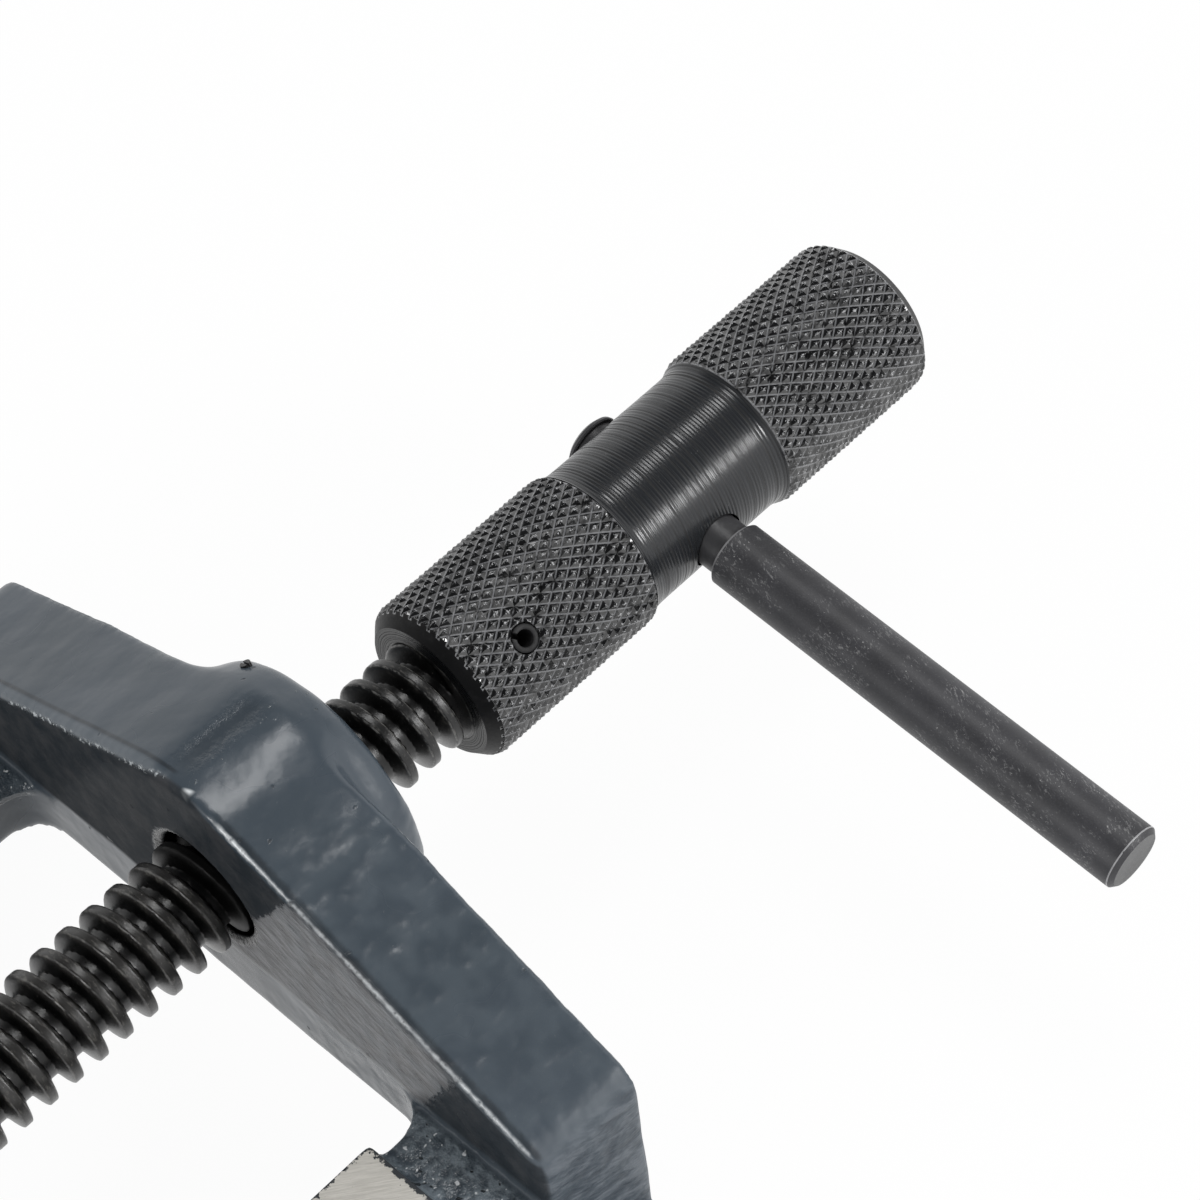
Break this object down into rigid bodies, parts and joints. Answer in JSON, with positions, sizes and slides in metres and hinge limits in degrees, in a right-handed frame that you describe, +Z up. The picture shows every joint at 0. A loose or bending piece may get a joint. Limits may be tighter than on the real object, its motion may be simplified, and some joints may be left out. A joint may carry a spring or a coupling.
{
  "type": "drill press vise",
  "caption": "Bench vise for a drill press: cast base with slotted flanges, sliding jaw on ground ways, lead screw through a bridge, knurled hub and crank bar.",
  "frame": {"origin": "underside of the base, on its middle plane, straight below the fixed jaw's clamping face", "axes": "+X along the screw from the fixed jaw towards the handle, +Y to the left when seen from behind the fixed jaw looking at the handle, +Z up"},
  "size_m": [0.3716, 0.184, 0.068],
  "materials": {
    "slate_enamel": "glossy blue-grey enamel over an as-cast surface",
    "ground_steel": "ground",
    "black_oxide_steel": "oiled black oxide",
    "zinc_plate": "zinc plate"
  },
  "bodies": {
    "base": {"vise_body": "slate_enamel", "boss_grub_screw": "black_oxide_steel", "fixed_jaw_plate": "ground_steel", "fixed_jaw_screw_left": "black_oxide_steel", "fixed_jaw_screw_right": "black_oxide_steel"},
    "slide": {"moving_jaw": "slate_enamel", "moving_jaw_plate": "ground_steel", "moving_jaw_screw_left": "black_oxide_steel", "moving_jaw_screw_right": "black_oxide_steel", "keeper_plate": "black_oxide_steel", "keeper_bolt_left": "zinc_plate", "keeper_bolt_right": "zinc_plate", "keeper_washer_left": "zinc_plate", "keeper_washer_right": "zinc_plate", "thrust_button": "ground_steel", "retainer_plate": "black_oxide_steel", "retainer_screw_left": "zinc_plate", "retainer_screw_right": "zinc_plate"},
    "spindle": {"lead_screw": "black_oxide_steel", "handle_hub": "black_oxide_steel", "hub_roll_pin": "black_oxide_steel"},
    "crank": {"crank_bar": "black_oxide_steel"}
  },
  "joints": [
    {"name": "jaw_slide", "type": "slide", "parent": "base", "child": "slide", "axis": [1, 0, 0], "range_m": [-0.0138, 0.106]},
    {"name": "screw_turn", "type": "hinge", "parent": "slide", "child": "spindle", "pos_m": [0.19, 0, 0.043], "axis": [1, 0, 0], "range_deg": [-1200, 9100]},
    {"name": "crank_slide", "type": "slide", "parent": "spindle", "child": "crank", "axis": [0, 0.9954, 0.0958], "range_m": [0, 0.0024]}
  ],
  "couplings": [
    {"joint": "screw_turn", "follows": "jaw_slide", "rad_per_m": 1484.2}
  ]
}
